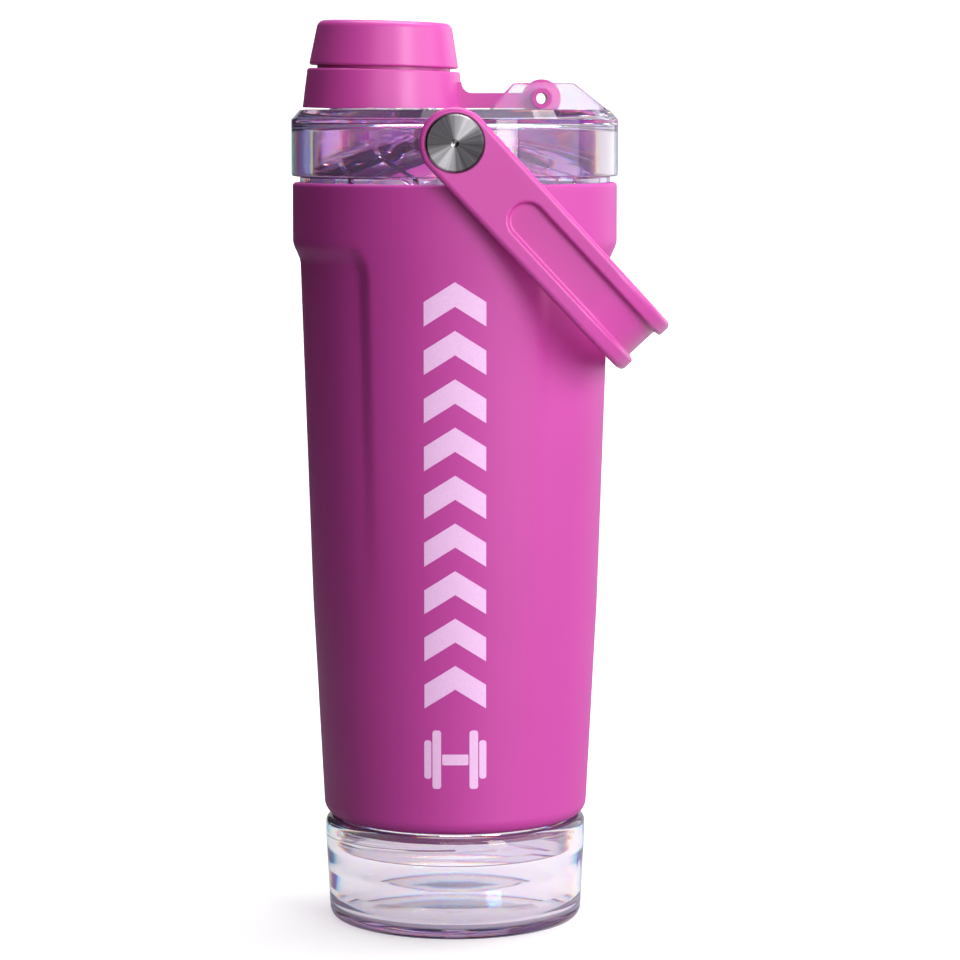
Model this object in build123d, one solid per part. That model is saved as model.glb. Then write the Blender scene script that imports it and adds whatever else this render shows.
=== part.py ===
"""Insulated protein shaker bottle with a carry loop, a tethered chug cap and a screw-on powder cup.

Millimetres. Origin: centre of the face the bottle stands on. +Z is up, +X points from the
drinking spout to the tether hinge, and the carry loop swings about an axis along Y.
"""

import os
from math import cos, radians, sin, sqrt

from build123d import *

# ---- Steel body ----------------------------------------------------------------------------
FAR = 100.0  # longer than anything it cuts through
EDGE, FINE_EDGE = 0.6, 0.3  # rounding of moulded and of small edges
LEAK_GAP = 0.05  # hairline between parts that touch

BODY_TOP = 208.7
COLLAR_R, COLLAR_Z = 45.45, 192.5  # straight collar above this height, cone below it
BASE_R, BASE_Z = 37.28, 33.9  # lower end of the cone, where the rounded foot starts
FOOT_ROUND, FOOT_Z = 4.2, 29.6
SHELL_T, LINER_T = 0.6, 0.6
PLATE_R, PLATE_T = 31.5, 0.8  # steel disc that closes the vacuum space underneath
PLATE_PIT_R, PLATE_PIT_DROP = 3.0, 2.6  # pinch-off pit in its middle, cut by a ball below the foot
PLATE_RIB_OUT, PLATE_RIB_IN, PLATE_RIB_H = 30.5, 29.0, 1.2
GETTER_R, GETTER_T = 6.0, 2.2
RIM_ROUND = 1.0
GRIP_R, GRIP_Z = 43.35, 186.0  # top of the two thumb recesses, which follow a steeper cone
GRIP_SLOPE, GRIP_END = 0.033, 90.0
GRIP_ANGLE, GRIP_CORNER = 60, 7.0  # each recess spans this far either side of the X axis
GRIP_BLEND = 9.0  # rounding where the recess runs out into the collar
NECK_R, NECK_LEDGE, NECK_SLOPE = 41.8, 192.5, 3.5
LINER_TOP_R, LINER_LOW_R, LINER_FLOOR, LINER_ROUND = 39.4, 33.5, 40.0, 8.0

# ---- Lid -----------------------------------------------------------------------------------
LID_R, LID_LOW, LID_EDGE, LID_TOP = 45.8, 210.4, 226.2, 228.9
LID_WALL, LID_PLATE, LID_CHAMFER, LID_CORNER = 3.2, 3.6, 2.5, 2.5
LID_CEILING = LID_TOP - LID_PLATE
FLANGE_R = 43.5
PLUG_R, PLUG_BORE, PLUG_LOW = 40.2, 37.5, 191.0
BLOCK_R = 39.8  # thick clear block over the mixing dome
DOME_R, DOME_TOP = 64.4, 222.0
RIDGES, RIDGE_SWEEP, RIDGE_T, RIDGE_H, RIDGE_START = 12, 75, 1.2, 1.8, 6.0
GASKET_T, GASKET_H = 1.3, 2.6
GASKET_PROUD = 0.3  # how far the gasket stands out of its rabbet

# ---- Threads -------------------------------------------------------------------------------
THREAD_DEPTH = 1.1
LID_LEAD, LID_STARTS = 12.0, 3
NECK_THREAD_Z, NECK_THREAD_TURN = 198.5, 150
PLUG_THREAD_Z, PLUG_THREAD_TURN = 196.5, 190
CUP_LEAD, CUP_STARTS = 8.0, 2
CUP_THREAD_ROOT, CUP_THREAD_CREST = 1.6, 0.8
SOCKET_THREAD_Z, SOCKET_THREAD_TURN = 21.9, 110
CUP_THREAD_Z, CUP_THREAD_TURN = 23.9, 90
CAP_LEAD = 3.2
LUG_ROOT, LUG_CREST = 2.2, 1.6

# ---- Spout and chug cap, drawn upright and then leaned towards the hinge ---------------------
SPOUT_X, SPOUT_LEAN = -20.2, 1.6
SPOUT_R, SPOUT_TIP_R, SPOUT_BORE, SPOUT_TOP = 14.9, 14.5, 12.8, 18.1
RING_LOW, RING_TOP, RING_LOW_R, RING_TOP_R = 0.45, 11.0, 22.4, 21.3
CAP_LOW, CAP_TOP, CAP_LOW_R, CAP_TOP_R = 11.9, 24.4, 20.9, 18.6
CORE_TOP_R, CORE_SEAL_R, CORE_CEILING = 16.6, 15.4, 20.5
CAP_SEAL_T, CAP_SEAL_DISH, SEAL_DISH_R, CAP_SEAL_GAP = 1.35, 0.4, 10.5, 0.2
SEAL_CLEAR = 1.0  # the seal's height over the spout while the cap is unlocked
COVER_T, COVER_ROUND, COVER_WALL = 2.2, 2.2, 1.9
SKIRT_R, SKIRT_BORE = 18.6, 17.4
LIP_R, LIP_LOW, LIP_TOP = 20.2, 1.6, 3.2  # lip under the skirt that carries the tether ring
LUG_Z, LUG_H, CAP_LUG = 4.2, 1.5, 40  # the cap's two locking lugs: mid height, depth, length in degrees
SPOUT_LUG_Z, SPOUT_LUG_H, SPOUT_LUG = 5.9, 2.0, 56  # the spout's lugs, which they turn under
SPOUT_GAP = 0.1

# ---- Tether hinge --------------------------------------------------------------------------
PIN_X, PIN_Z, PIN_R, PIN_BORE, PIN_HALF = 24.1, 232.0, 2.8, 1.55, 10.9
KNUCKLE_R, KNUCKLE_HALF, KNUCKLE_GAP = 5.3, 7.0, 0.45
PRESS_GAP = 0.02  # round a pin or insert that is pressed in
RUNNING_GAP = 0.06
EAR_IN, EAR_OUT, EAR_TOP, EAR_FRONT, EAR_BACK = 7.3, 10.5, 236.3, 16.4, 33.0
EAR_RAMP, EAR_ROOT, EAR_ROUND = 6.8, 1.5, 1.6  # run of the front slope, depth in the top plate
ARM_TOP, ARM_HALF, ARM_BLEND = 233.5, 6.4, 2.9
RING_ROUND, RING_GAP = 0.7, 0.3

# ---- Carry loop ----------------------------------------------------------------------------
PIVOT_Z = 219.9
LOOP_DROP = 47.0  # the loop rests this many degrees below level
LOOP_IN, LOOP_T = 46.4, 3.8  # inner face of each arm from the mid-plane, strap thickness
EYE_R, STRAP_HALF = 9.65, 9.35
LOOP_REACH, LOOP_BOW, LOOP_CORNER = 76.0, 2.5, 22.0
STRAP_ROUND = 1.5
GROOVE_START, GROOVE_HALF, GROOVE_DEPTH, GROOVE_ROUND = 23.3, 4.9, 1.9, 0.85
DISC_R, DISC_IN, DISC_OUT = 7.84, 49.05, 50.6
BOSS_R, BOSS_IN = 8.6, 39.9
INSERT_R, INSERT_IN, BUSH_R = 3.2, 39.95, 4.05
SCREW_R, SCREW_NECK_R, SCREW_HEAD_R, SCREW_HEAD_T, SCREW_TIP = 2.0, 2.5, 4.4, 0.8, 40.5
DISC_GAP, DISC_CHAMFER, DIMPLE_R, DIMPLE_DEPTH = 0.35, 0.5, 2.2, 0.3
WASHER_R, BUSH_PLAY = 7.5, 0.2

# ---- Powder cup ----------------------------------------------------------------------------
CUP_LOW_R, CUP_TOP_R, CUP_TAPER_Z, CUP_RIM = 35.6, 36.9, 23.5, 29.4
CUP_FOOT_ROUND, CUP_RIM_ROUND = 3.0, 2.2
CUP_BORE, CUP_BORE_LOW = 34.0, 20.3  # threaded mouth, down to this height
CUP_WAIST_R, CUP_WAIST_Z = 33.3, 14.5  # the wall swells inwards below the thread
CUP_STORE_R, CUP_STORE_Z = 33.6, 9.0
CUP_FLOOR, CUP_FLOOR_ROUND, CUP_SWELL_ROUND = 2.4, 5.0, 9.0
CUP_DISH_R, CUP_DISH_DEPTH = 24.0, 0.8  # shallow dish under the cup, with a button in its middle
CUP_BUTTON_R = 2.8
SOCKET_R, SOCKET_BORE, SOCKET_LOW = 32.2, 29.5, 20.5
SOCKET_FLANGE_R, FLANGE_LOW = 33.5, 26.9
SOCKET_LIP_R, SOCKET_LIP_H = 26.5, 1.6
SEAL_OUT, SEAL_LOW, SEAL_H = 35.0, 27.1, 1.3


def near(face, x, y):
    """The face's corner nearest to (x, y)."""
    return min(face.vertices(), key=lambda v: (v.X - x) ** 2 + (v.Y - y) ** 2)


def turned(points, rounds=None):
    """Solid of revolution about Z from (radius, height) points; rounds maps a point's place to a radius."""
    face = make_face(Polyline(*points, close=True))
    for place, radius in (rounds or {}).items():
        face = fillet(near(face, *points[place]), radius)
    return revolve(Plane.XZ * face, Axis.Z)


def tube(r_out, r_in, low, high):
    """Upright ring about Z."""
    ring = Pos(0, 0, low) * Cylinder(r_out, high - low, align=(Align.CENTER, Align.CENTER, Align.MIN))
    return ring - turned([(0, low - 1), (r_in, low - 1), (r_in, high + 1), (0, high + 1)])


def crosswise(r_out, y_near, y_far, x=0.0, z=0.0):
    """Cylinder along Y from y_near to y_far."""
    rod = Cylinder(r_out, abs(y_far - y_near))
    return Pos(x, (y_near + y_far) / 2, z) * Rot(90, 0, 0) * rod


def ridge(root_r, depth, lead, degrees, low, start, root_w, crest_w):
    """One helical thread ridge. Depth is positive outwards; the root is sunk a little into its wall."""
    sink = 0.35 if depth > 0 else -0.35
    path = Helix(pitch=lead, height=lead * degrees / 360, radius=root_r)
    away = Plane(origin=path @ 0, x_dir=(1, 0, 0), z_dir=path % 0)
    outline = [(-sink, -root_w / 2), (-sink, root_w / 2), (depth, crest_w / 2), (depth, -crest_w / 2)]
    profile = away * make_face(Polyline(*outline, close=True))
    return Pos(0, 0, low) * Rot(0, 0, start) * sweep(profile, path=path, is_frenet=True)


def thread(root_r, depth, lead, starts, degrees, low, root_w=2.2, crest_w=1.2, first=0.0):
    """All the ridges of a thread with several starts."""
    return [
        ridge(root_r, depth, lead, degrees, low, first + 360 / starts * k, root_w, crest_w)
        for k in range(starts)
    ]


def leaned(shape):
    """Moves a shape drawn upright about the spout to its place on the lid."""
    return Pos(SPOUT_X, 0, LID_TOP) * Rot(0, SPOUT_LEAN, 0) * shape


# ---- Body ----------------------------------------------------------------------------------
def grip_radius(z):
    return GRIP_R - GRIP_SLOPE * (GRIP_Z - z)


def grip_recess(inset):
    """What the two thumb recesses take away from the cone; they fade out where the cones meet."""
    middle = (GRIP_END + COLLAR_Z) / 2
    outer = Pos(0, 0, middle) * Cylinder(COLLAR_R + 5, COLLAR_Z - GRIP_END)
    core = turned(
        [
            (0, GRIP_END - 1),
            (grip_radius(GRIP_END) - inset, GRIP_END - 1),
            (GRIP_R - inset, GRIP_Z),
            (COLLAR_R - inset + 0.2, COLLAR_Z + 0.5),
            (0, COLLAR_Z + 0.5),
        ],
        {2: GRIP_BLEND},
    )
    wide = COLLAR_R * sin(radians(GRIP_ANGLE)) + inset
    narrow = grip_radius(GRIP_END) * sin(radians(GRIP_ANGLE)) + inset
    top = COLLAR_Z - 0.3
    corners = [(-narrow, GRIP_END), (narrow, GRIP_END), (wide, top), (-wide, top)]
    window = make_face(Polyline(*corners, close=True))
    window = fillet(window.vertices().group_by(Axis.Y)[-1], GRIP_CORNER)
    slot = extrude(Plane.YZ * window, COLLAR_R + 10, both=True)
    return (outer - core) & slot


def body_form(inset):
    """The body as a solid block, inset evenly from its painted face."""
    low = FOOT_Z + inset
    points = [
        (0, low),
        (BASE_R - inset, low),
        (BASE_R - inset, BASE_Z),
        (COLLAR_R - inset, COLLAR_Z),
        (COLLAR_R - inset, BODY_TOP - inset),
        (0, BODY_TOP - inset),
    ]
    return turned(points, {1: FOOT_ROUND - inset, 4: RIM_ROUND - inset}) - grip_recess(inset)


def outer_shell():
    shell = body_form(0) - body_form(SHELL_T)
    mouth = NECK_R + LINER_T + LEAK_GAP
    shell -= Pos(0, 0, BODY_TOP) * Cylinder(mouth, NECK_SLOPE)
    return shell - Pos(0, 0, FOOT_Z) * Cylinder(PLATE_R, FOOT_ROUND)


def base_plate():
    plate = Pos(0, 0, FOOT_Z + PLATE_T / 2) * Cylinder(PLATE_R - LEAK_GAP, PLATE_T)
    plate -= Pos(0, 0, FOOT_Z - PLATE_PIT_DROP) * Sphere(PLATE_PIT_R)
    top = FOOT_Z + PLATE_T
    return plate + tube(PLATE_RIB_OUT, PLATE_RIB_IN, top - LEAK_GAP, top + PLATE_RIB_H)


def liner_form(grow):
    points = [
        (0, LINER_FLOOR - grow),
        (LINER_LOW_R + grow, LINER_FLOOR - grow),
        (LINER_TOP_R + grow, NECK_LEDGE - NECK_SLOPE),
        (NECK_R + grow, NECK_LEDGE),
        (NECK_R + grow, BODY_TOP),
        (0, BODY_TOP),
    ]
    return turned(points, {1: LINER_ROUND + grow})


def inner_liner():
    liner = liner_form(LINER_T) - liner_form(0)
    for start in thread(NECK_R, -THREAD_DEPTH, LID_LEAD, LID_STARTS, NECK_THREAD_TURN, NECK_THREAD_Z):
        liner += start
    return liner


def vacuum_getter():
    top = LINER_FLOOR - LINER_T - LEAK_GAP
    return Pos(0, 0, top - GETTER_T / 2) * Cylinder(GETTER_R, GETTER_T)


# ---- Powder cup ------------------------------------------------------------------------------
def base_socket():
    """Clear threaded ring bonded under the steel base; the powder cup screws onto it."""
    top = FOOT_Z - LEAK_GAP
    lip = top - SOCKET_LIP_H
    ring = turned(
        [
            (SOCKET_R - EDGE, SOCKET_LOW),
            (SOCKET_R, SOCKET_LOW),
            (SOCKET_R, FLANGE_LOW),
            (SOCKET_FLANGE_R, FLANGE_LOW),
            (SOCKET_FLANGE_R, top),
            (SOCKET_LIP_R, top),
            (SOCKET_LIP_R, lip),
            (SOCKET_BORE, lip),
            (SOCKET_BORE, FLANGE_LOW),
        ],
        {1: FINE_EDGE, 3: FINE_EDGE},
    )
    size = (SOCKET_THREAD_TURN, SOCKET_THREAD_Z, CUP_THREAD_ROOT, CUP_THREAD_CREST)
    for start in thread(SOCKET_R, THREAD_DEPTH, CUP_LEAD, CUP_STARTS, *size):
        ring += start
    return ring


def cup_cavity():
    """The powder space: threaded mouth, a smooth swelling of the wall below it, and a rounded floor."""
    mouth = CUP_RIM + LEAK_GAP
    return turned(
        [
            (0, CUP_FLOOR),
            (CUP_STORE_R, CUP_FLOOR),
            (CUP_STORE_R, CUP_STORE_Z),
            (CUP_WAIST_R, CUP_WAIST_Z),
            (CUP_BORE, CUP_BORE_LOW),
            (CUP_BORE, CUP_RIM - FINE_EDGE),
            (CUP_BORE + FINE_EDGE, mouth),
            (0, mouth),
        ],
        {1: CUP_FLOOR_ROUND, 3: CUP_SWELL_ROUND, 4: CUP_SWELL_ROUND},
    )


def storage_cup():
    outside = turned(
        [
            (0, 0),
            (CUP_LOW_R, 0),
            (CUP_TOP_R, CUP_TAPER_Z),
            (CUP_TOP_R, CUP_RIM),
            (0, CUP_RIM),
        ],
        {1: CUP_FOOT_ROUND, 3: CUP_RIM_ROUND},
    )
    ball = (CUP_DISH_R**2 + CUP_DISH_DEPTH**2) / (2 * CUP_DISH_DEPTH)
    dish = Pos(0, 0, CUP_DISH_DEPTH - ball) * Sphere(ball) - Cylinder(CUP_BUTTON_R, FAR)
    cup = outside - dish - cup_cavity()
    size = (CUP_THREAD_TURN, CUP_THREAD_Z, CUP_THREAD_ROOT, CUP_THREAD_CREST)
    for start in thread(CUP_BORE, -THREAD_DEPTH, CUP_LEAD, CUP_STARTS, *size):
        cup += start
    groove = (SEAL_OUT + LEAK_GAP, CUP_BORE - LEAK_GAP, SEAL_LOW - LEAK_GAP, SEAL_LOW + SEAL_H + LEAK_GAP)
    return cup - tube(*groove)


def cup_gasket():
    """Silicone ring in a groove inside the cup's mouth; it closes on the socket's flange."""
    inner = SOCKET_FLANGE_R + LEAK_GAP
    high = SEAL_LOW + SEAL_H
    outline = [(inner, SEAL_LOW), (SEAL_OUT, SEAL_LOW), (SEAL_OUT, high), (inner, high)]
    return turned(outline, {0: FINE_EDGE, 3: FINE_EDGE})


# ---- Lid -------------------------------------------------------------------------------------
def ear_plate():
    """One clear hinge ear, standing on the lid's top face and sloping down to its edge."""
    back = LID_R - LID_CHAMFER - 1
    outline = Polyline(
        (EAR_FRONT - EAR_RAMP, LID_TOP - EAR_ROOT),
        (EAR_FRONT - EAR_RAMP, LID_TOP),
        (EAR_FRONT, EAR_TOP),
        (EAR_BACK, EAR_TOP),
        (back, LID_TOP),
        (back - 1, LID_TOP - EAR_ROOT),
        close=True,
    )
    face = make_face(outline)
    face = fillet(face.vertices().group_by(Axis.Y)[-1], EAR_ROUND)
    ear = extrude(Plane.XZ.offset(-EAR_OUT) * face, EAR_OUT - EAR_IN)
    sides = ear.faces().sort_by(Axis.Y)
    return fillet(sides[0].edges() + sides[-1].edges(), EDGE)


def lid_cover():
    """Clear outer moulding: wall, top plate, pivot bosses and hinge ears."""
    body = turned(
        [
            (0, LID_LOW),
            (LID_R, LID_LOW),
            (LID_R, LID_EDGE),
            (LID_R - LID_CHAMFER, LID_TOP),
            (0, LID_TOP),
        ],
        {1: EDGE, 2: EDGE, 3: EDGE},
    )
    inner_r = LID_R - LID_WALL
    below = LID_LOW - LID_WALL
    body -= turned([(0, below), (inner_r, below), (inner_r, LID_CEILING), (0, LID_CEILING)], {2: LID_CORNER})
    for side in (-1, 1):
        body += crosswise(BOSS_R, side * BOSS_IN, side * LID_R, z=PIVOT_Z)
    ear = ear_plate()
    body += ear + mirror(ear, Plane.XZ)
    # The knuckle turns between the ears, in a trough sunk into the top plate.
    body -= crosswise(KNUCKLE_R + KNUCKLE_GAP, -EAR_IN, EAR_IN, PIN_X, PIN_Z)
    body -= crosswise(PIN_R + PRESS_GAP, -FAR, FAR, PIN_X, PIN_Z)
    for side in (-1, 1):
        body -= crosswise(INSERT_R + PRESS_GAP, side * INSERT_IN, side * FAR, z=PIVOT_Z)
    return body - leaned(Cylinder(SPOUT_R + SPOUT_GAP, FAR / 2))


def dome(radius):
    return Pos(0, 0, DOME_TOP - DOME_R) * Sphere(radius)


def mixing_ridges():
    """Spiral ridges that hang from the dome and turn the shaken drink."""
    steps = 8
    line = []
    for k in range(steps + 1):
        r = RIDGE_START + (PLUG_BORE - RIDGE_START) * k / steps
        a = radians(RIDGE_SWEEP * k / steps)
        line.append((r * cos(a), r * sin(a)))
    low = BODY_TOP - RIDGE_H
    fence = extrude(Pos(0, 0, low) * trace(Spline(*line), RIDGE_T), DOME_TOP - low)
    ridge = (fence & dome(DOME_R + FINE_EDGE)) - dome(DOME_R - RIDGE_H)
    ridge &= Cylinder(PLUG_BORE + FINE_EDGE, 4 * FAR + BODY_TOP)
    return [Rot(0, 0, 360 / RIDGES * k) * ridge for k in range(RIDGES)]


def lid_inner():
    """Clear inner moulding: thick block over the mixing dome, drinking spout, flange and threaded plug."""
    top = LID_LOW - LEAK_GAP
    plug = tube(PLUG_R, PLUG_BORE, PLUG_LOW, top) + tube(FLANGE_R, PLUG_BORE, BODY_TOP + LEAK_GAP, top)
    ceiling = LID_CEILING - LEAK_GAP
    low = BODY_TOP + LEAK_GAP
    block = turned([(0, low), (BLOCK_R, low), (BLOCK_R, ceiling), (0, ceiling)], {2: LID_CORNER})
    block -= dome(DOME_R)
    spout = turned(
        [
            (0, -SPOUT_R),
            (SPOUT_R, -SPOUT_R),
            (SPOUT_R, CAP_LOW),
            (SPOUT_TIP_R, SPOUT_TOP),
            (0, SPOUT_TOP),
        ],
        {3: EDGE},
    )
    inner = plug + block + (leaned(spout) - dome(DOME_R))
    for ridge in mixing_ridges():
        inner += ridge
    inner -= leaned(Cylinder(SPOUT_BORE, FAR))
    for start in thread(PLUG_R, THREAD_DEPTH, LID_LEAD, LID_STARTS, PLUG_THREAD_TURN, PLUG_THREAD_Z):
        inner += start
    low, first = SPOUT_LUG_Z - CAP_LEAD * SPOUT_LUG / 720, -SPOUT_LUG / 2
    for lug in thread(SPOUT_R, SPOUT_LUG_H, CAP_LEAD, 2, SPOUT_LUG, low, LUG_ROOT, LUG_CREST, first):
        inner += leaned(lug)
    return inner - tube(PLUG_R + THREAD_DEPTH, PLUG_R - GASKET_T, PLUG_LOW - 1, PLUG_LOW + GASKET_H)


def lid_gasket():
    """Silicone ring round the foot of the plug; its lower edge meets the ledge inside the neck."""
    inner, outer = PLUG_R - GASKET_T + LEAK_GAP, PLUG_R + GASKET_PROUD
    low, high = PLUG_LOW - GASKET_PROUD, PLUG_LOW + GASKET_H - LEAK_GAP
    return turned([(inner, low), (outer, low), (outer, high), (inner, high)], {1: FINE_EDGE, 2: FINE_EDGE})


# ---- Tether and chug cap ---------------------------------------------------------------------
def tether_arm():
    """Flat arm from the ring to the knuckle, blended into the ring's wall."""
    low = LID_TOP + RING_LOW
    wall_x = SPOUT_X + RING_LOW_R - FINE_EDGE
    rooted_x = wall_x - STRAP_HALF
    rise = ARM_TOP + ARM_BLEND + LEAK_GAP
    outline = [(rooted_x, low), (rooted_x, rise), (wall_x, rise), (wall_x, ARM_TOP)]
    profile = make_face(Polyline(*outline, (PIN_X - PIN_R, ARM_TOP), (PIN_X, low), close=True))
    profile = fillet(near(profile, wall_x, ARM_TOP), ARM_BLEND)
    return extrude(Plane.XZ * profile, ARM_HALF, both=True)


def tether():
    """Flexible ring round the cap's skirt, with an arm to the hinge knuckle."""
    outline = [(0, 0), (RING_LOW_R, 0), (RING_TOP_R, RING_TOP), (0, RING_TOP)]
    ring = leaned(turned(outline, {2: RING_ROUND}))
    body = ring + tether_arm() + crosswise(KNUCKLE_R, -KNUCKLE_HALF, KNUCKLE_HALF, PIN_X, PIN_Z)
    body -= leaned(Cylinder(SKIRT_R + RING_GAP, FAR / 2))
    body -= leaned(tube(LIP_R + RING_GAP, SKIRT_R, -FAR / 2, LIP_TOP + RING_GAP))
    body -= crosswise(PIN_R + RUNNING_GAP, -FAR, FAR, PIN_X, PIN_Z)
    # The leaning ring's lowest edge is cut level, so that it clears the lid's top.
    edge_x = PIN_X - KNUCKLE_R - RING_ROUND
    return body - Pos(edge_x - FAR / 2, 0, LID_TOP + RING_LOW - FAR / 2) * Box(FAR, FAR, FAR)


def hinge_pin():
    pin = crosswise(PIN_R, -PIN_HALF, PIN_HALF, PIN_X, PIN_Z)
    return pin - crosswise(PIN_BORE, -20, 20, PIN_X, PIN_Z)


def cap_cover():
    outline = [(0, CAP_LOW), (CAP_LOW_R, CAP_LOW), (CAP_TOP_R, CAP_TOP), (0, CAP_TOP)]
    inner_low, inner_top = CAP_LOW_R - COVER_WALL, CAP_TOP_R - COVER_WALL
    low, ceiling = CAP_LOW - 1, CAP_TOP - COVER_T
    inside = turned([(0, low), (inner_low, low), (inner_top, ceiling), (0, ceiling)])
    return leaned(turned(outline, {2: COVER_ROUND, 1: EDGE}) - inside)


def cap_core():
    """Inner part of the cap: skirt, two locking lugs, and the lip that holds the tether ring."""
    top = CAP_TOP - COVER_T - LEAK_GAP
    core = turned(
        [
            (SKIRT_BORE, LIP_LOW),
            (LIP_R, LIP_LOW),
            (LIP_R, LIP_TOP),
            (SKIRT_R, LIP_TOP),
            (SKIRT_R, CAP_LOW + EDGE),
            (CORE_TOP_R, top),
            (0, top),
            (0, CORE_CEILING),
            (CORE_SEAL_R, CORE_CEILING),
            (CORE_SEAL_R + EDGE, SPOUT_TOP - LIP_LOW),
            (SKIRT_BORE, SPOUT_TOP - 3 * LIP_LOW),
        ]
    )
    low, first = LUG_Z - CAP_LEAD * CAP_LUG / 720, 90 - CAP_LUG / 2
    for lug in thread(SKIRT_BORE, -LUG_H, CAP_LEAD, 2, CAP_LUG, low, LUG_ROOT, LUG_CREST, first):
        core += lug
    return leaned(core)


def cap_seal():
    """Silicone disc in the cap, raised in the middle, with a flat rim over the spout's lip."""
    low = SPOUT_TOP + SEAL_CLEAR
    middle, top = low + CAP_SEAL_DISH, low + CAP_SEAL_T
    rim = [(SEAL_DISH_R, middle), (SEAL_DISH_R + 1, low), (CORE_SEAL_R - CAP_SEAL_GAP, low)]
    return leaned(turned([(0, middle), *rim, (CORE_SEAL_R - CAP_SEAL_GAP, top), (0, top)]))


# ---- Carry loop --------------------------------------------------------------------------------
def loop_band(inset):
    """The loop's outline seen along its strap width, inset from its outer face, as (Y, reach) face."""
    half = LOOP_IN + LOOP_T - inset
    corner = LOOP_CORNER - inset
    reach, back = LOOP_REACH - inset, -2 * EYE_R
    edge = half - corner
    d = corner * (1 - sqrt(0.5))
    pieces = [
        Line((-half, back), (-half, reach - corner)),
        ThreePointArc((-half, reach - corner), (-half + d, reach - d), (-edge, reach)),
        ThreePointArc((-edge, reach), (0, reach + LOOP_BOW), (edge, reach)),
        ThreePointArc((edge, reach), (half - d, reach - d), (half, reach - corner)),
        Line((half, reach - corner), (half, back)),
        Line((half, back), (-half, back)),
    ]
    return make_face(Wire(pieces))


def loop_block(inset, height):
    """The loop's outline as a block lying flat: X is reach, Y across, Z the strap's width."""
    lying = Plane(origin=(0, 0, 0), x_dir=(0, 1, 0), z_dir=(0, 0, -1))
    return extrude(lying * loop_band(inset), height, both=True)


def loop_groove():
    """Shallow groove round the outside of the strap, with rounded ends near the pivots."""
    reach = LOOP_REACH + LOOP_BOW + 5
    centre = GROOVE_START + GROOVE_HALF
    straight = Pos((centre + reach) / 2, 0) * Rectangle(reach - centre, 2 * GROOVE_HALF)
    slot = extrude(Plane.XZ * (straight + Pos(centre, 0) * Circle(GROOVE_HALF)), FAR, both=True)
    return (loop_block(-1, STRAP_HALF) - loop_block(GROOVE_DEPTH, 2 * STRAP_HALF)) & slot


def carry_loop():
    """The loop drawn lying along +X from its pivot axis, then dropped to its resting angle."""
    strap = loop_block(0, STRAP_HALF + LOOP_T) - loop_block(LOOP_T, 2 * STRAP_HALF)
    reach = LOOP_REACH + LOOP_BOW + 1
    taper = Polyline((0, -EYE_R), (reach, -STRAP_HALF), (reach, STRAP_HALF), (0, EYE_R), close=True)
    strap &= extrude(Plane.XZ * (make_face(taper) + Circle(EYE_R)), FAR, both=True)
    strap = fillet(strap.edges().filter_by(lambda e: e.length > EYE_R / 2), STRAP_ROUND)
    loop = strap - loop_groove()
    loop = fillet(new_edges(strap, combined=loop), GROOVE_ROUND)
    loop -= crosswise(BUSH_R + LEAK_GAP, -FAR, FAR)
    for way in (-1, 1):
        loop -= crosswise(DISC_R + DISC_GAP, way * (DISC_IN - LEAK_GAP), way * FAR)
    return Pos(0, 0, PIVOT_Z) * Rot(0, LOOP_DROP, 0) * loop


def pivot_disc(way):
    disc = crosswise(DISC_R, way * DISC_IN, way * DISC_OUT, z=PIVOT_Z)
    disc = chamfer(disc.edges().sort_by(Axis.Y)[0 if way < 0 else -1], DISC_CHAMFER)
    pocket = DISC_IN + SCREW_HEAD_T + LEAK_GAP
    disc -= crosswise(SCREW_HEAD_R + LEAK_GAP, way * LOOP_IN, way * pocket, z=PIVOT_Z)
    return disc - Pos(0, way * (DISC_OUT + DIMPLE_R - DIMPLE_DEPTH), PIVOT_Z) * Sphere(DIMPLE_R)


def both_sides(make):
    """One shape for each end of the pivot axis, kept as separate solids of one node."""
    return Compound(children=[make(-1), make(1)])


def pivot_screw(way):
    screw = crosswise(SCREW_R, way * SCREW_TIP, way * LID_R, z=PIVOT_Z)
    screw += crosswise(SCREW_NECK_R, way * LID_R, way * DISC_IN, z=PIVOT_Z)
    return screw + crosswise(SCREW_HEAD_R, way * DISC_IN, way * (DISC_IN + SCREW_HEAD_T), z=PIVOT_Z)


def pivot_bush(way):
    bush = crosswise(BUSH_R, way * (LOOP_IN + LEAK_GAP), way * (DISC_IN - BUSH_PLAY), z=PIVOT_Z)
    return bush - crosswise(SCREW_NECK_R + LEAK_GAP, way * BOSS_IN, way * FAR, z=PIVOT_Z)


def pivot_insert(way):
    insert = crosswise(INSERT_R, way * (INSERT_IN + LEAK_GAP), way * (LID_R - 2 * LEAK_GAP), z=PIVOT_Z)
    return insert - crosswise(SCREW_R + LEAK_GAP, way * PLUG_BORE, way * FAR, z=PIVOT_Z)


def pivot_washer(way):
    washer = crosswise(WASHER_R, way * (LID_R + LEAK_GAP), way * (LOOP_IN - LEAK_GAP), z=PIVOT_Z)
    return washer - crosswise(SCREW_NECK_R + 2 * LEAK_GAP, way * PLUG_BORE, way * FAR, z=PIVOT_Z)


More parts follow.
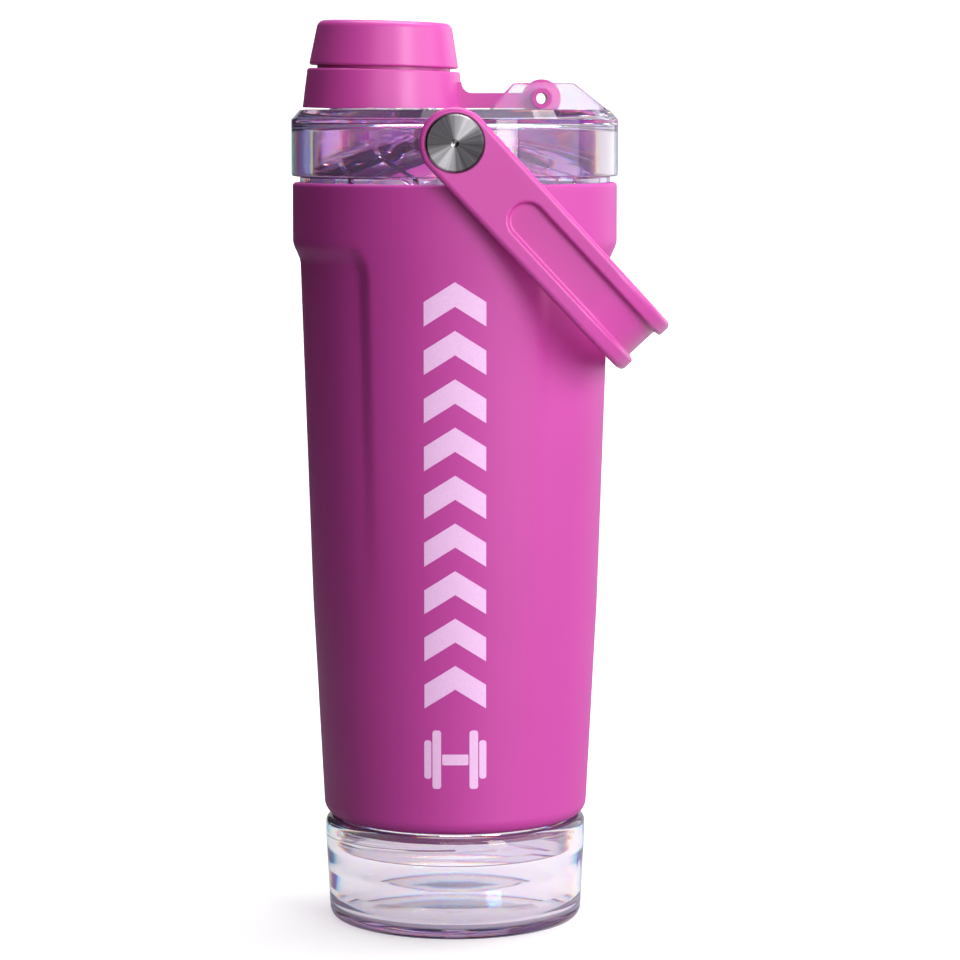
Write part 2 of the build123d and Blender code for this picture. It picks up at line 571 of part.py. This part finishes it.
PARTS = {
    "outer_shell": outer_shell,
    "inner_liner": inner_liner,
    "base_plate": base_plate,
    "vacuum_getter": vacuum_getter,
    "base_socket": base_socket,
    "storage_cup": storage_cup,
    "cup_gasket": cup_gasket,
    "lid_cover": lid_cover,
    "lid_inner": lid_inner,
    "lid_gasket": lid_gasket,
    "tether": tether,
    "hinge_pin": hinge_pin,
    "cap_cover": cap_cover,
    "cap_core": cap_core,
    "cap_seal": cap_seal,
    "carry_loop": carry_loop,
    "pivot_disc_front": lambda: pivot_disc(-1),
    "pivot_disc_rear": lambda: pivot_disc(1),
    "pivot_screws": lambda: both_sides(pivot_screw),
    "pivot_bushes": lambda: both_sides(pivot_bush),
    "pivot_inserts": lambda: both_sides(pivot_insert),
    "pivot_washers": lambda: both_sides(pivot_washer),
}


def main():
    os.makedirs("parts", exist_ok=True)
    for name, make in PARTS.items():
        export_step(make(), f"parts/{name}.step")


main()
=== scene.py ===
import math

import bmesh
import bpy
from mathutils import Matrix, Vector


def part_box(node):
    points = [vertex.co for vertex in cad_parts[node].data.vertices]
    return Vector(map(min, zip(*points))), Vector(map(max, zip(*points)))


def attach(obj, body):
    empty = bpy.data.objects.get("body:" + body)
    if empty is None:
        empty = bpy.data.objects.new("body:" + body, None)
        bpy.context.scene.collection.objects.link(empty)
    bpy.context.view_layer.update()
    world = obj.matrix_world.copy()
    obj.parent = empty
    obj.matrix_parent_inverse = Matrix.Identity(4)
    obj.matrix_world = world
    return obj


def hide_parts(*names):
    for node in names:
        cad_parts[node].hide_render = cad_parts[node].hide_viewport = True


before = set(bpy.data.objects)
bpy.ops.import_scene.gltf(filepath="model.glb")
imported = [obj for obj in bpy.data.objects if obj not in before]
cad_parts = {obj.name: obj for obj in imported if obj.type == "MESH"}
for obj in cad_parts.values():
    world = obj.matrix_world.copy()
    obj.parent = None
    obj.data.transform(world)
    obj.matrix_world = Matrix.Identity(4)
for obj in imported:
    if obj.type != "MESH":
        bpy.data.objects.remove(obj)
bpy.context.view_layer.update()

MM = 0.001
TURN = 2 * math.pi

# ---- Body, in metres: its ends and widths come from the frame --------------------------------
SHELL_LOW, SHELL_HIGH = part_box("outer_shell")
BODY_LOW, BODY_TOP = SHELL_LOW.z, SHELL_HIGH.z
COLLAR_R, FOOT_R = SHELL_HIGH.x, 37.28 * MM
COLLAR_LOW = BODY_TOP - 16.2 * MM  # straight collar above this height, cone below it
CONE_LOW = BODY_LOW + 4.3 * MM  # rounded foot below this height
FOOT_ROUND, RIM_ROUND = 4.2 * MM, 1.0 * MM
WALL = 0.6 * MM
SEAM = 0.05 * MM  # gap between the shell and the steel it is welded to
PLATE_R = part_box("base_plate")[1].x + SEAM
NECK_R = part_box("inner_liner")[1].x + SEAM
CONE_STEP, COLLAR_STEP = 0.9 * MM, 1.5 * MM  # rows of quads up the body
SEGMENTS = 448

# ---- The two thumb recesses, each 60 degrees either side of the X axis ------------------------
GRIP_TOP_R, GRIP_TOP_Z, GRIP_SLOPE = 43.35 * MM, 186.0 * MM, 0.033
GRIP_SIDE = math.sin(math.radians(60))
GRIP_CORNER, GRIP_EDGE = 4.5 * MM, 3.2 * MM
GRIP_SHOULDER = 0.5  # below 1, the upper shoulder is longer and softer than the sides

# ---- Print -----------------------------------------------------------------------------------
PRINT_LIFT, PRINT_STRIP, PRINT_REACH = 0.05 * MM, 0.6 * MM, 10 * MM
CHEVRONS, CHEVRON_HALF, CHEVRON_THICK, CHEVRON_RISE = 9, 8.5 * MM, 6.6 * MM, 5.4 * MM
CHEVRONS_LOW, CHEVRONS_HIGH = 65.7 * MM, 182.7 * MM
DUMBBELL_Z, BAR_REACH, BAR_HALF, BAR_CORNER = 51.4 * MM, 3.6 * MM, 1.5 * MM, 0.4 * MM
WEIGHTS = ((3.9 * MM, 6.3 * MM, 8.2 * MM), (6.6 * MM, 8.6 * MM, 5.4 * MM))  # inner, outer, half height
WEIGHT_CORNER = 0.8 * MM

# ---- Materials -------------------------------------------------------------------------------
WHITE = (1.0, 1.0, 1.0, 1.0)
PLASTIC_IOR, FILM_IOR, FILM_THICKNESS = 1.5, 1.38, 420.0
DISPERSION, SPLIT_SHARE = 0.03, 0.7  # spread of the three colours' IOR, and how much light is split
PLASTIC_TINT = (0.975, 0.965, 0.985, 1.0)
PLASTIC_MILK = (0.03, 0.02, 0.035, 1.0)
DEPTH_COLOUR, LID_DENSITY, CUP_DENSITY = (0.53, 0.0, 0.56, 1.0), 21.0, 13.0
LID_HAZE, CUP_HAZE = 0.015, 0.02
FLOW_LINES = 0.15 * MM
PAINTED_FAN_ANGLE, PAINTED_FAN_POWER = math.radians(58), 7.0  # painted highlight: the bright fans on a turned steel face, painted into its colour
RING_PITCH = 9000.0

# ---- Studio: azimuth 0 is in front of the bottle and 90 is on its right -----------------------
LOOK_AT = (0.0, 0.0, 0.13)
ROUND_LIGHTS = (  # name, azimuth, distance, height, width, tall, power, seen through clear parts
    ("key", 36, 1.3, 0.5, 0.36, 1.1, 12.0, True),
    ("fill", 1, 1.5, 0.6, 0.8, 0.9, 5.2, True),
    ("side", 70, 1.2, 0.45, 1.2, 1.0, 9.0, False),
    ("rim", 132, 1.2, 0.4, 0.8, 0.9, 3.0, False),
)
TOP_POWER, WALL_POWER = 8.0, 30.0
WORLD_LIGHT = 0.05
WORLD_SEEN_THROUGH, WORLD_SEEN = (0.58, 0.49, 0.70, 1.0), (0.85, 0.85, 0.86, 1.0)
PAPER_COLOUR = (0.88, 0.88, 0.885)
PAPER_GLOW, FLOOR_SEEN_THROUGH, WALL_SEEN_THROUGH = 0.25, 0.38, 0.1
PAPER_DIFFUSE_LOSS, PAPER_GLOSSY_LOSS = 0.82, 0.5
FLOOR_BEND, FLOOR_BACK, FLOOR_FRONT, FLOOR_SIDE, WALL_TALL = 0.6, 0.9, -3.0, 3.5, 3.5
BEND_STEPS = 12
CARD_X, CARD_NEAR, CARD_FAR, CARD_TALL = -0.42, -0.6, 1.4, 1.0
# The card's own black, and the dim violet painted glow it shows only through clear parts.
CARD_COLOUR, CARD_PAINTED_GLOW_THROUGH = (0.012, 0.012, 0.012, 1.0), (0.10, 0.055, 0.14, 1.0)

# ---- Camera ----------------------------------------------------------------------------------
CAMERA_PLACE, CAMERA_PITCH, CAMERA_YAW = (0.0, -0.985, 0.2263), math.radians(5.891), math.radians(0.41)
LENS, SENSOR = 131.2, 36.0


def mix(a, b, share):
    return a + (b - a) * share


def srgb(r, g, b):
    """Linear colour from 0 to 255 display values."""
    def one(v):
        v /= 255
        return v / 12.92 if v <= 0.04045 else ((v + 0.055) / 1.055) ** 2.4
    return (one(r), one(g), one(b), 1.0)


def dimmed(colour, gain):
    return tuple(c * gain for c in colour[:3]) + (1.0,)


# ---- Node material helpers -------------------------------------------------------------------
class Nodes:
    """A small wrapper that makes a node tree readable as a list of steps."""

    def __init__(self, name):
        self.material = bpy.data.materials.new(name)
        self.material.use_nodes = True
        self.tree = self.material.node_tree
        self.tree.nodes.clear()
        self.out = self.add("ShaderNodeOutputMaterial")

    def add(self, kind, links=None, **settings):
        node = self.tree.nodes.new(kind)
        for key, value in settings.items():
            setattr(node, key, value)
        for key, value in (links or {}).items():
            self.set(node, key, value)
        return node

    def set(self, node, key, value):
        socket = node.inputs[key]
        if isinstance(value, bpy.types.NodeSocket):
            self.tree.links.new(value, socket)
        else:
            socket.default_value = value

    def place(self):
        return self.add("ShaderNodeTexCoord").outputs["Object"]

    def noise(self, scale, detail=4.0, rough=0.5, vector=None):
        node = self.add("ShaderNodeTexNoise", {"Scale": scale, "Detail": detail, "Roughness": rough})
        self.tree.links.new(vector or self.place(), node.inputs["Vector"])
        return node.outputs["Fac"]

    def spread(self, value, low, high, out_low=0.0, out_high=1.0):
        """Maps low to out_low and high to out_high, and clamps."""
        node = self.add("ShaderNodeMapRange", {"Value": value, "From Min": low, "From Max": high})
        node.inputs["To Min"].default_value = out_low
        node.inputs["To Max"].default_value = out_high
        return node.outputs["Result"]

    def math(self, operation, a, b=0.0):
        node = self.add("ShaderNodeMath", operation=operation)
        self.set(node, 0, a)
        self.set(node, 1, b)
        return node.outputs[0]

    def vector(self, x=0.0, y=0.0, z=0.0):
        return self.add("ShaderNodeCombineXYZ", {"X": x, "Y": y, "Z": z}).outputs[0]

    def vector_math(self, operation, vector, constant):
        node = self.add("ShaderNodeVectorMath", operation=operation)
        self.set(node, 0, vector)
        node.inputs[1].default_value = constant
        return node.outputs[0]

    def blend(self, share, a, b):
        node = self.add("ShaderNodeMix", data_type="RGBA")
        self.set(node, 0, share)
        self.set(node, 6, a)
        self.set(node, 7, b)
        return node.outputs[2]

    def bump(self, height, distance, strength=1.0, normal=None):
        node = self.add("ShaderNodeBump", {"Strength": strength, "Distance": distance, "Height": height})
        if normal is not None:
            self.set(node, "Normal", normal)
        return node.outputs["Normal"]

    def join(self, kind, first, second, share=None):
        """Adds or mixes two shaders."""
        node = self.add(kind)
        if share is not None:
            self.set(node, 0, share)
        skip = len(node.inputs) - 2
        self.tree.links.new(first.outputs[0], node.inputs[skip])
        self.tree.links.new(second.outputs[0], node.inputs[skip + 1])
        return node

    def surface(self, **inputs):
        shader = self.add("ShaderNodeBsdfPrincipled")
        for key, value in inputs.items():
            self.set(shader, key.replace("_", " "), value)
        self.tree.links.new(shader.outputs["BSDF"], self.out.inputs["Surface"])
        return shader


# ---- Materials -------------------------------------------------------------------------------
def powder_coat():
    """Magenta powder coat: fine grain over a faint orange peel."""
    m = Nodes("powder_coat_magenta")
    grain = m.noise(1500.0, 3.0, 0.6)
    orange_peel = m.noise(260.0, 2.0, 0.5)
    drift = m.noise(14.0, 2.0, 0.5)
    colour = m.blend(m.spread(drift, 0.3, 0.7), srgb(191, 60, 156), srgb(197, 64, 162))
    normal = m.bump(orange_peel, 0.06 * MM, 0.35, m.bump(grain, 0.03 * MM, 0.5))
    m.surface(Base_Color=colour, Roughness=m.spread(grain, 0.2, 0.8, 0.46, 0.58), Normal=normal,
              Specular_IOR_Level=0.5)
    return m.material


def pink_plastic():
    m = Nodes("pink_moulded_plastic")
    grain = m.noise(2200.0, 4.0, 0.6)
    flow = m.noise(30.0, 2.0, 0.5)
    colour = m.blend(m.spread(flow, 0.3, 0.7), srgb(205, 70, 165), srgb(211, 76, 171))
    m.surface(Base_Color=colour, Roughness=m.spread(grain, 0.2, 0.8, 0.3, 0.42),
              Normal=m.bump(grain, 0.02 * MM, 0.5), Specular_IOR_Level=0.55)
    return m.material


def print_ink():
    m = Nodes("pale_print_ink")
    speck = m.noise(1800.0, 3.0, 0.6)
    colour = m.blend(m.spread(speck, 0.35, 0.65), srgb(242, 192, 240), srgb(248, 202, 246))
    m.surface(Base_Color=colour, Roughness=0.55, Normal=m.bump(speck, 0.02 * MM, 0.4))
    return m.material


def split_refraction(m, rough, normal):
    """Refraction in three colours, each with its own IOR, under a clear shine."""
    split = None
    for channel, bend in ((0, -DISPERSION), (1, 0.0), (2, DISPERSION)):
        colour = tuple(1.0 if k in (channel, 3) else 0.0 for k in range(4))
        ray = m.add("ShaderNodeBsdfRefraction", {
            "Color": colour, "IOR": PLASTIC_IOR + bend, "Roughness": rough, "Normal": normal})
        split = m.join("ShaderNodeAddShader", split, ray) if split else ray
    shine = m.add("ShaderNodeBsdfGlossy", {"Color": WHITE, "Roughness": rough, "Normal": normal})
    fresnel = m.add("ShaderNodeFresnel", {"IOR": PLASTIC_IOR, "Normal": normal})
    return m.join("ShaderNodeMixShader", split, shine, fresnel.outputs[0])


def clear_plastic(name, haze, density):
    """Clear lavender plastic, tinted by its depth.

    Only what the camera sees first is split into colours. Shadow and diffuse rays pass straight
    through, so what is inside stays lit.
    """
    m = Nodes(name)
    flow = m.noise(60.0, 2.0, 0.5)
    fine = m.noise(900.0, 3.0, 0.6)
    rough = m.spread(fine, 0.3, 0.7, haze, haze * 1.8)
    normal = m.bump(flow, FLOW_LINES, 0.25)
    whole = m.add("ShaderNodeBsdfPrincipled", {
        "Base Color": PLASTIC_TINT, "IOR": PLASTIC_IOR, "Transmission Weight": 1.0, "Roughness": rough,
        "Normal": normal, "Thin Film Thickness": m.spread(flow, 0.2, 0.8, 0.0, FILM_THICKNESS),
        "Thin Film IOR": FILM_IOR})
    split = split_refraction(m, rough, normal)
    light = m.add("ShaderNodeLightPath")
    first_face = m.math("MULTIPLY", light.outputs["Is Camera Ray"], SPLIT_SHARE)
    plastic = m.join("ShaderNodeMixShader", whole, split, first_face)
    milk = m.add("ShaderNodeBsdfDiffuse", {"Color": PLASTIC_MILK})
    plastic = m.join("ShaderNodeAddShader", plastic, milk)
    open_way = m.add("ShaderNodeBsdfTransparent", {"Color": PLASTIC_TINT})
    passing = m.math("MAXIMUM", light.outputs["Is Shadow Ray"], light.outputs["Is Diffuse Ray"])
    both = m.join("ShaderNodeMixShader", plastic, open_way, passing)
    m.tree.links.new(both.outputs[0], m.out.inputs["Surface"])
    depth = m.add("ShaderNodeVolumeAbsorption", {"Color": DEPTH_COLOUR, "Density": density})
    m.tree.links.new(depth.outputs[0], m.out.inputs["Volume"])
    return m.material


def steel(name, tone, rough):
    m = Nodes(name)
    brush = m.noise(400.0, 4.0, 0.6)
    colour = m.blend(m.spread(brush, 0.3, 0.7), dimmed(tone, 0.86), tone)
    m.surface(Base_Color=colour, Metallic=1.0, Roughness=m.spread(brush, 0.3, 0.7, rough, rough * 1.4),
              Normal=m.bump(brush, 0.01 * MM, 0.4))
    return m.material


def spun_steel(centre):
    """Steel turned about an axis along Y through centre, with the bright fans such a face shows painted
    into its colour as a painted highlight.
    """
    m = Nodes("spun_steel")
    parts = m.add("ShaderNodeSeparateXYZ", {"Vector": m.vector_math("SUBTRACT", m.place(), centre)})
    x, z = parts.outputs["X"], parts.outputs["Z"]
    radius = m.math("SQRT", m.math("ADD", m.math("MULTIPLY", x, x), m.math("MULTIPLY", z, z)))
    rings = m.noise(1.0, 5.0, 0.75, m.vector(x=m.math("MULTIPLY", radius, RING_PITCH)))
    # Painted highlight: the bright fans and their radial streaks are painted into the base colour, not
    # made by the lamps.
    angle = m.math("ARCTAN2", z, x)
    turned = m.math("SUBTRACT", angle, PAINTED_FAN_ANGLE)
    painted_fan_highlight = m.math("POWER", m.math("ABSOLUTE", m.math("COSINE", turned)), PAINTED_FAN_POWER)
    streaks = m.noise(5.0, 3.0, 0.6, m.vector(x=m.math("COSINE", angle), y=m.math("SINE", angle)))
    light = m.math("MULTIPLY", m.math("ADD", painted_fan_highlight, 0.1), m.spread(streaks, 0.35, 0.65, 0.45, 1.25))
    light = m.math("ADD", light, m.spread(rings, 0.35, 0.65, -0.05, 0.05))
    colour = m.blend(light, srgb(46, 44, 48), srgb(196, 194, 198))
    shader = m.surface(Base_Color=colour, Metallic=1.0, Roughness=0.3, Anisotropic=0.8,
                       Normal=m.bump(rings, 0.012 * MM, 0.35))
    m.tree.links.new(m.vector(x=m.math("MULTIPLY", z, -1.0), z=x), shader.inputs["Tangent"])
    return m.material


def silicone(name, colour):
    m = Nodes(name)
    bloom = m.noise(700.0, 3.0, 0.6)
    m.surface(Base_Color=colour, Roughness=m.spread(bloom, 0.3, 0.7, 0.5, 0.7),
              Normal=m.bump(bloom, 0.02 * MM, 0.4), Subsurface_Weight=0.2)
    return m.material


def brass():
    m = Nodes("brass")
    knurl = m.noise(1200.0, 2.0, 0.5)
    m.surface(Base_Color=srgb(205, 170, 105), Metallic=1.0, Roughness=0.35,
              Normal=m.bump(knurl, 0.03 * MM, 0.5))
    return m.material


def slider_plastic():
    m = Nodes("slider_plastic")
    grain = m.noise(1500.0, 3.0, 0.6)
    m.surface(Base_Color=srgb(228, 226, 222), Roughness=0.45, Normal=m.bump(grain, 0.02 * MM, 0.4))
    return m.material


# ---- Meshes ----------------------------------------------------------------------------------
def mesh_object(name, vertices, faces, material):
    mesh = bpy.data.meshes.new(name)
    mesh.from_pydata([tuple(v) for v in vertices], [], [tuple(f) for f in faces])
    mesh.polygons.foreach_set("use_smooth", [True] * len(mesh.polygons))
    mesh.update()
    obj = bpy.data.objects.new(name, mesh)
    bpy.context.scene.collection.objects.link(obj)
    mesh.materials.append(material)
    return obj


def arc(cx, cz, radius, start, end, steps):
    """Points (r, z) of an arc, angles in degrees."""
    angles = [math.radians(mix(start, end, k / steps)) for k in range(steps + 1)]
    return [(cx + radius * math.cos(a), cz + radius * math.sin(a)) for a in angles]


def rows(low, high, step):
    """Points (r, z) every step or so along a straight stretch, without its two ends."""
    count = max(1, round(math.dist(low, high) / step))
    return [(mix(low[0], high[0], k / count), mix(low[1], high[1], k / count)) for k in range(1, count)]


def cone_radius(z):
    share = (z - CONE_LOW) / (COLLAR_LOW - CONE_LOW)
    return mix(FOOT_R, COLLAR_R, min(max(share, 0.0), 1.0))


def soft_step(t):
    t = min(max(t, 0.0), 1.0)
    return t * t * (3 - 2 * t)


def grip_depth(y, z):
    """How far the thumb recess sinks at (y, z); its sides and its upper shoulder are soft."""
    deep = cone_radius(z) - (GRIP_TOP_R - GRIP_SLOPE * (GRIP_TOP_Z - z))
    if deep <= 0 or z > COLLAR_LOW:
        return 0.0
    u = abs(y) - cone_radius(z) * GRIP_SIDE + GRIP_CORNER
    v = (z - COLLAR_LOW) * GRIP_SHOULDER + GRIP_CORNER
    outside = math.hypot(max(u, 0), max(v, 0)) + min(max(u, v), 0) - GRIP_CORNER
    return deep * soft_step(-outside / GRIP_EDGE)


def shell_profile(inset):
    """(radius, height) points of the body from its foot to its rim, inset evenly."""
    foot, rim = FOOT_ROUND - inset, max(RIM_ROUND - inset, 0.2 * MM)
    low = (FOOT_R - inset, CONE_LOW)
    shoulder = (COLLAR_R - inset, COLLAR_LOW)
    edge = (COLLAR_R - inset, BODY_TOP - RIM_ROUND)
    points = [(PLATE_R, BODY_LOW + inset)]
    points += arc(FOOT_R - FOOT_ROUND, BODY_LOW + FOOT_ROUND, foot, -90, 0, 8)
    points += [low] + rows(low, shoulder, CONE_STEP) + [shoulder] + rows(shoulder, edge, COLLAR_STEP)
    points += arc(COLLAR_R - RIM_ROUND, BODY_TOP - RIM_ROUND, rim, 0, 90, 5)
    points += [(NECK_R, BODY_TOP - inset)]
    return points


def lathe(points, dent):
    """Vertices and quads of a closed profile turned about Z; dent(y, z) is taken off the radius."""
    vertices, faces = [], []
    count = len(points)
    for k in range(SEGMENTS):
        a = TURN * k / SEGMENTS
        for r, z in points:
            reach = r - dent(r * math.sin(a), z)
            vertices.append((reach * math.cos(a), reach * math.sin(a), z))
    for k in range(SEGMENTS):
        ahead = (k + 1) % SEGMENTS
        for j in range(count):
            up = (j + 1) % count
            faces.append((k * count + j, ahead * count + j, ahead * count + up, k * count + up))
    return vertices, faces


def body_shell(material):
    """The painted shell, which stands in for the CAD shell."""
    outer = shell_profile(0.0)
    inner = shell_profile(WALL)
    vertices, faces = lathe(outer + inner[::-1], grip_depth)
    shell = mesh_object("body_shell", vertices, faces, material)
    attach(shell, "bottle")
    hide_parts("outer_shell")


# ---- Generic print on the front --------------------------------------------------------------
def wrap(x, z, lift):
    """A point of the flat artwork, laid on the front of the body."""
    r = cone_radius(z) + lift
    a = x / r
    return (r * math.sin(a), -r * math.cos(a), z)


def print_piece(name, outlines, material):
    """Flat outlines in (x, z), cut into narrow upright strips and laid on the body as a thin film."""
    bm = bmesh.new()
    for outline in outlines:
        bm.faces.new([bm.verts.new((x, 0.0, z)) for x, z in outline])
    for k in range(round(2 * PRINT_REACH / PRINT_STRIP)):
        everything = bm.verts[:] + bm.edges[:] + bm.faces[:]
        cut = (k * PRINT_STRIP - PRINT_REACH, 0, 0)
        bmesh.ops.bisect_plane(bm, geom=everything, plane_co=cut, plane_no=(1, 0, 0))
    bmesh.ops.recalc_face_normals(bm, faces=bm.faces)
    if sum(f.normal.y for f in bm.faces) > 0:
        bmesh.ops.reverse_faces(bm, faces=bm.faces)
    film = bmesh.ops.extrude_face_region(bm, geom=bm.faces[:])
    lifted = {v for v in film["geom"] if isinstance(v, bmesh.types.BMVert)}
    for v in bm.verts:
        v.co = wrap(v.co.x, v.co.z, PRINT_LIFT if v in lifted else -PRINT_LIFT)
    bmesh.ops.recalc_face_normals(bm, faces=bm.faces)
    mesh = bpy.data.meshes.new(name)
    bm.to_mesh(mesh)
    bm.free()
    mesh.materials.append(material)
    obj = bpy.data.objects.new(name, mesh)
    bpy.context.scene.collection.objects.link(obj)
    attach(obj, "bottle")


def chevrons():
    """A column of plain chevrons pointing up the bottle."""
    pitch = (CHEVRONS_HIGH - CHEVRONS_LOW - CHEVRON_THICK - CHEVRON_RISE) / (CHEVRONS - 1)
    shapes = []
    for k in range(CHEVRONS):
        z = CHEVRONS_LOW + pitch * k
        lower = [(-CHEVRON_HALF, z), (0, z + CHEVRON_RISE), (CHEVRON_HALF, z)]
        shapes.append(lower + [(x, height + CHEVRON_THICK) for x, height in reversed(lower)])
    return shapes


def rounded_bar(x0, z0, x1, z1, corner):
    """A rounded rectangle."""
    points = []
    for cx, cz, start in ((x1 - corner, z0 + corner, -90), (x1 - corner, z1 - corner, 0),
                          (x0 + corner, z1 - corner, 90), (x0 + corner, z0 + corner, 180)):
        points += arc(cx, cz, corner, start, start + 90, 5)
    return points


def dumbbell():
    """A plain dumbbell pictogram lying across the front."""
    low, high = DUMBBELL_Z - BAR_HALF, DUMBBELL_Z + BAR_HALF
    shapes = [rounded_bar(-BAR_REACH, low, BAR_REACH, high, BAR_CORNER)]
    for side in (-1, 1):
        for inner, outer, tall in WEIGHTS:
            x0, x1 = sorted((side * inner, side * outer))
            shapes.append(rounded_bar(x0, DUMBBELL_Z - tall, x1, DUMBBELL_Z + tall, WEIGHT_CORNER))
    return shapes


# ---- Studio ----------------------------------------------------------------------------------
def around(azimuth, distance, height):
    """A place round the bottle."""
    a = math.radians(azimuth)
    return (distance * math.sin(a), -distance * math.cos(a), height)


def soft_light(name, place, aim, width, tall, power):
    light = bpy.data.lights.new(name, "AREA")
    light.shape = "RECTANGLE"
    light.size, light.size_y = width, tall
    light.energy = power
    obj = bpy.data.objects.new(name, light)
    obj.location = place
    obj.rotation_euler = (Vector(aim) - Vector(place)).to_track_quat("-Z", "Y").to_euler()
    bpy.context.scene.collection.objects.link(obj)
    return obj


def paper():
    """White paper, bright to the camera and through clear parts, that throws little light back."""
    m = Nodes("studio_paper")
    tooth = m.noise(500.0, 3.0, 0.6)
    light = m.add("ShaderNodeLightPath")
    loss = m.math("ADD", m.math("MULTIPLY", light.outputs["Is Diffuse Ray"], PAPER_DIFFUSE_LOSS),
                  m.math("MULTIPLY", light.outputs["Is Glossy Ray"], PAPER_GLOSSY_LOSS))
    dim = m.math("SUBTRACT", 1.0, loss)
    colour = m.vector_math("MULTIPLY", m.vector(dim, dim, dim), PAPER_COLOUR)
    height = m.add("ShaderNodeSeparateXYZ", {"Vector": m.place()}).outputs["Z"]
    through = m.spread(height, 0.0, FLOOR_BEND / 2, FLOOR_SEEN_THROUGH, WALL_SEEN_THROUGH)
    glow = m.math("ADD", m.math("MULTIPLY", light.outputs["Is Camera Ray"], PAPER_GLOW),
                  m.math("MULTIPLY", light.outputs["Is Transmission Ray"], through))
    m.surface(Base_Color=colour, Roughness=0.85, Normal=m.bump(tooth, 0.05 * MM, 0.2),
              Emission_Color=WHITE, Emission_Strength=glow)
    return m.material


def backdrop():
    """A pale floor that curves up into a pale wall."""
    line = [(FLOOR_FRONT, 0.0), (FLOOR_BACK, 0.0)]
    for k in range(1, BEND_STEPS + 1):
        a = math.pi / 2 * k / BEND_STEPS
        line.append((FLOOR_BACK + FLOOR_BEND * math.sin(a), FLOOR_BEND * (1 - math.cos(a))))
    line.append((FLOOR_BACK + FLOOR_BEND, WALL_TALL))
    count = len(line)
    vertices = [(x, y, z) for x in (-FLOOR_SIDE, FLOOR_SIDE) for y, z in line]
    faces = [(k, count + k, count + k + 1, k + 1) for k in range(count - 1)]
    mesh_object("studio_floor", vertices, faces, paper())


def dark_card():
    """A black card on the left that keeps that side of the bottle dark; to rays through clear parts it
    glows a dim violet, a painted glow.
    """
    m = Nodes("black_card")
    through = m.add("ShaderNodeLightPath").outputs["Is Transmission Ray"]
    # Painted glow: the card emits a dim violet only to rays coming through clear parts.
    m.surface(Base_Color=CARD_COLOUR, Roughness=0.9,
              Emission_Color=CARD_PAINTED_GLOW_THROUGH, Emission_Strength=through)
    corners = [(CARD_X, CARD_NEAR, 0.0), (CARD_X, CARD_FAR, 0.0),
               (CARD_X, CARD_FAR, CARD_TALL), (CARD_X, CARD_NEAR, CARD_TALL)]
    card = mesh_object("dark_card", corners, [(0, 1, 2, 3)], m.material)
    card.visible_camera = False


def surroundings():
    """A dim room that looks pale to the camera and lavender through clear parts."""
    world = bpy.data.worlds.new("studio")
    world.use_nodes = True
    tree = world.node_tree
    path = tree.nodes.new("ShaderNodeLightPath")
    colour = tree.nodes.new("ShaderNodeRGB").outputs[0]
    colour.default_value = (WORLD_LIGHT, WORLD_LIGHT, WORLD_LIGHT, 1.0)
    for ray, seen in (("Is Transmission Ray", WORLD_SEEN_THROUGH), ("Is Camera Ray", WORLD_SEEN)):
        choose = tree.nodes.new("ShaderNodeMix")
        choose.data_type = "RGBA"
        tree.links.new(path.outputs[ray], choose.inputs[0])
        tree.links.new(colour, choose.inputs[6])
        choose.inputs[7].default_value = seen
        colour = choose.outputs[2]
    tree.links.new(colour, tree.nodes["Background"].inputs["Color"])
    bpy.context.scene.world = world


def studio():
    backdrop()
    dark_card()
    for name, azimuth, distance, height, width, tall, power, seen_through in ROUND_LIGHTS:
        light = soft_light(name, around(azimuth, distance, height), LOOK_AT, width, tall, power)
        light.visible_transmission = seen_through
    soft_light("top", (0.15, 0.1, 1.3), LOOK_AT, 0.9, 0.9, TOP_POWER)
    soft_light("wall_wash", (0.0, 0.4, 1.5), (0.0, 1.5, 0.3), 2.4, 0.6, WALL_POWER)
    surroundings()


def camera():
    data = bpy.data.cameras.new("camera")
    data.sensor_width, data.lens = SENSOR, LENS
    obj = bpy.data.objects.new("camera", data)
    obj.location = CAMERA_PLACE
    obj.rotation_euler = (math.radians(90) - CAMERA_PITCH, 0.0, -CAMERA_YAW)
    bpy.context.scene.collection.objects.link(obj)
    bpy.context.scene.camera = obj


def render_settings():
    scene = bpy.context.scene
    scene.view_settings.view_transform = "Standard"
    scene.cycles.use_denoising = True
    scene.cycles.transparent_max_bounces = 24
    scene.cycles.transmission_bounces = 20
    scene.cycles.max_bounces = 24


# ---- Putting it together ---------------------------------------------------------------------
def dress(material, *nodes):
    """Gives CAD pieces a material."""
    for node in nodes:
        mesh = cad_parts[node].data
        mesh.materials.clear()
        mesh.materials.append(material)


def main():
    coat = powder_coat()
    ink = print_ink()
    dress(pink_plastic(), "tether", "hinge_pin", "cap_cover", "cap_core", "carry_loop")
    dress(clear_plastic("clear_lid_plastic", LID_HAZE, LID_DENSITY), "lid_cover", "lid_inner")
    dress(clear_plastic("clear_cup_plastic", CUP_HAZE, CUP_DENSITY), "storage_cup", "base_socket")
    dress(steel("liner_steel", srgb(196, 194, 194), 0.28), "inner_liner", "pivot_screws")
    dress(steel("getter_steel", srgb(120, 116, 112), 0.5), "vacuum_getter")
    dress(silicone("silicone", srgb(226, 220, 226)), "lid_gasket", "cap_seal")
    # A real pink silicone gasket; its dark colour is painted shade for the gap under the body's foot.
    dress(silicone("dark_pink_silicone_painted_shade", srgb(92, 14, 70)), "cup_gasket")
    dress(slider_plastic(), "pivot_bushes", "pivot_washers")
    dress(brass(), "pivot_inserts")
    dress(coat, "base_plate")
    for node in ("pivot_disc_front", "pivot_disc_rear"):
        low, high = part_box(node)
        dress(spun_steel((low + high) / 2), node)
    body_shell(coat)
    print_piece("front_chevrons", chevrons(), ink)
    print_piece("front_dumbbell", dumbbell(), ink)
    studio()
    camera()
    render_settings()


main()
